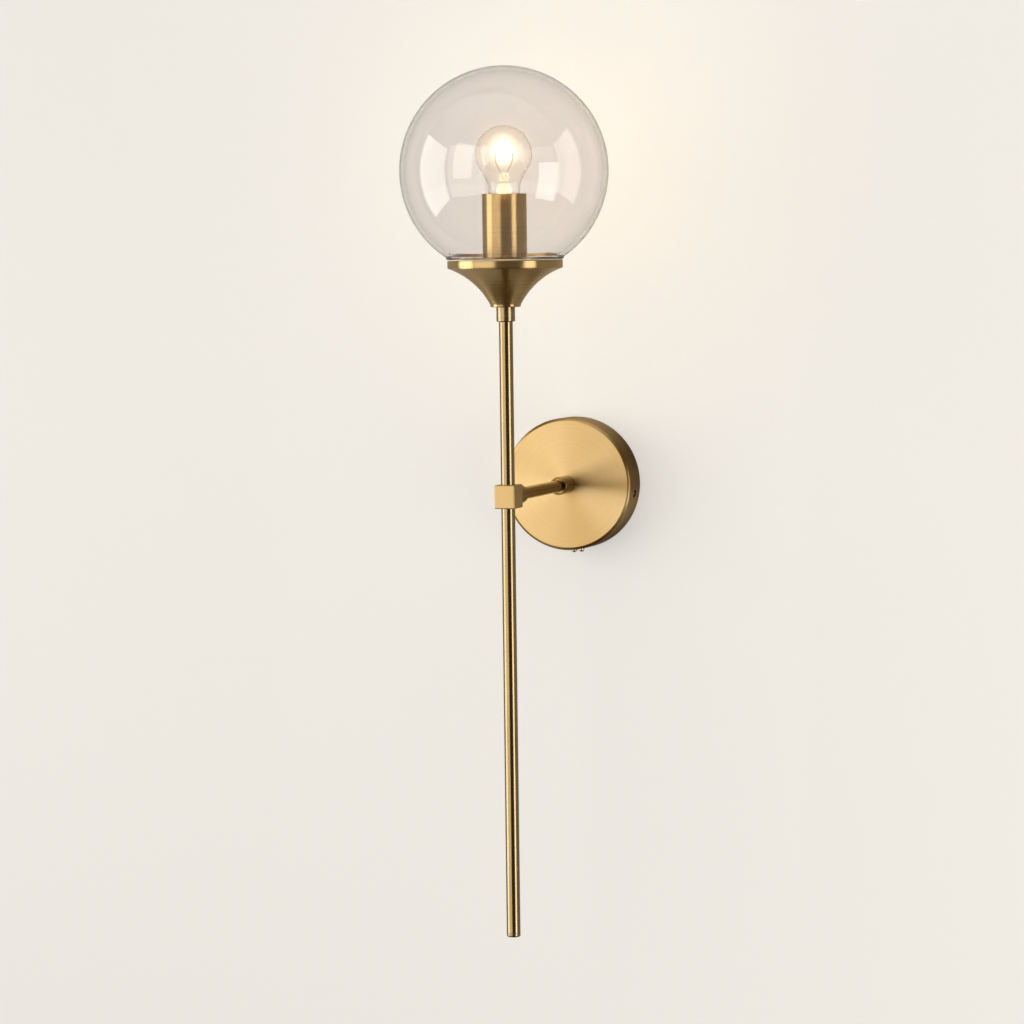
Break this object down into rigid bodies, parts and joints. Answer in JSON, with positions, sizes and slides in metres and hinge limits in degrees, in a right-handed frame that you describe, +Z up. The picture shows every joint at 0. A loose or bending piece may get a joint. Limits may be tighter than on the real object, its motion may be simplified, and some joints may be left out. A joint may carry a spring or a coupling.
{
  "type": "globe wall sconce",
  "caption": "Brass wall sconce: a clear glass globe in a flared cup on top of a long thin rod, held off a round wall canopy by a short arm, with a golf-ball bulb inside.",
  "frame": {"origin": "centre of the canopy's back on the wall, where the arm's axis meets it", "axes": "wall plane y = 0, the lamp stands out towards -Y, +Z up, +X to the right as seen from the room"},
  "size_m": [0.15, 0.233, 0.6297],
  "materials": {
    "polished_brass": "polished and lacquered",
    "satin_brass": "fine satin, lacquered",
    "brushed_brass": "turned and brushed in circles, lacquered",
    "raw_brass": "plain turned",
    "zinc_steel": "zinc plated",
    "spring_steel": "bright spring strip",
    "nickel_shell": "nickel plated",
    "clear_glass": "clear, smooth",
    "bulb_glass": "clear, thin",
    "lamp_wire": "drawn wire",
    "lit_filament": "glowing",
    "white_ceramic": "glazed ceramic",
    "white_plastic": "moulded",
    "black_glass": "fused glass insulator",
    "clear_gasket": "soft translucent ring",
    "brown_sheath": "lead insulation",
    "blue_sheath": "lead insulation",
    "green_sheath": "lead insulation"
  },
  "bodies": {
    "fixture": {"wall_bracket": "zinc_steel", "canopy": "brushed_brass", "canopy_side_screws": "polished_brass", "canopy_foot_screws": "polished_brass", "terminal_carrier": "zinc_steel", "terminal_block": "white_plastic", "terminal_screws": "zinc_steel", "terminal_fixing_screw": "zinc_steel", "earth_washer": "zinc_steel", "earth_screw": "zinc_steel", "canopy_nipple": "raw_brass", "canopy_lock_washer": "zinc_steel", "canopy_nut": "zinc_steel", "earth_ring": "zinc_steel", "nipple_bush": "white_plastic", "arm_collar": "polished_brass", "arm_tube": "satin_brass", "block_sleeve": "polished_brass", "block_nipple": "raw_brass", "rod_block": "satin_brass", "upper_rod_stud": "raw_brass", "lower_rod_stud": "raw_brass", "upper_rod": "polished_brass", "lower_rod": "polished_brass", "rod_plug": "polished_brass", "cup_collar": "polished_brass", "cup_nipple": "raw_brass", "flare_cup": "satin_brass", "cup_washer": "zinc_steel", "cup_nut": "zinc_steel", "plate_nut": "zinc_steel", "seat_plate": "satin_brass", "glass_gasket": "clear_gasket", "spring_clips": "spring_steel", "clip_rivets": "zinc_steel", "holder_cover": "satin_brass", "holder_dome": "white_plastic", "holder_core": "white_ceramic", "holder_sleeve": "white_plastic", "threaded_shell": "nickel_shell", "centre_contact": "spring_steel", "holder_terminal_screws": "zinc_steel", "live_lead": "brown_sheath", "neutral_lead": "blue_sheath", "earth_lead": "green_sheath"},
    "globe": {"glass_globe": "clear_glass"},
    "bulb_foot": {"cap_contact": "lamp_wire"},
    "bulb": {"bulb_glass": "bulb_glass", "bulb_cap": "nickel_shell", "cap_insulator": "black_glass", "bulb_stem": "bulb_glass", "support_wires": "lamp_wire", "filament": "lit_filament"}
  },
  "joints": [
    {"name": "globe_lift", "type": "slide", "parent": "fixture", "child": "globe", "axis": [0, 0, 1], "range_m": [0, 0.11]},
    {"name": "bulb_rise", "type": "slide", "parent": "fixture", "child": "bulb_foot", "axis": [0, 0, 1], "range_m": [0, 0.017]},
    {"name": "bulb_turn", "type": "hinge", "parent": "bulb_foot", "child": "bulb", "pos_m": [0, -0.158, 0.2], "axis": [0, 0, 1], "range_deg": [0, 2160]}
  ],
  "couplings": [
    {"joint": "bulb_rise", "follows": "bulb_turn", "m_per_rad": 0.000449}
  ]
}
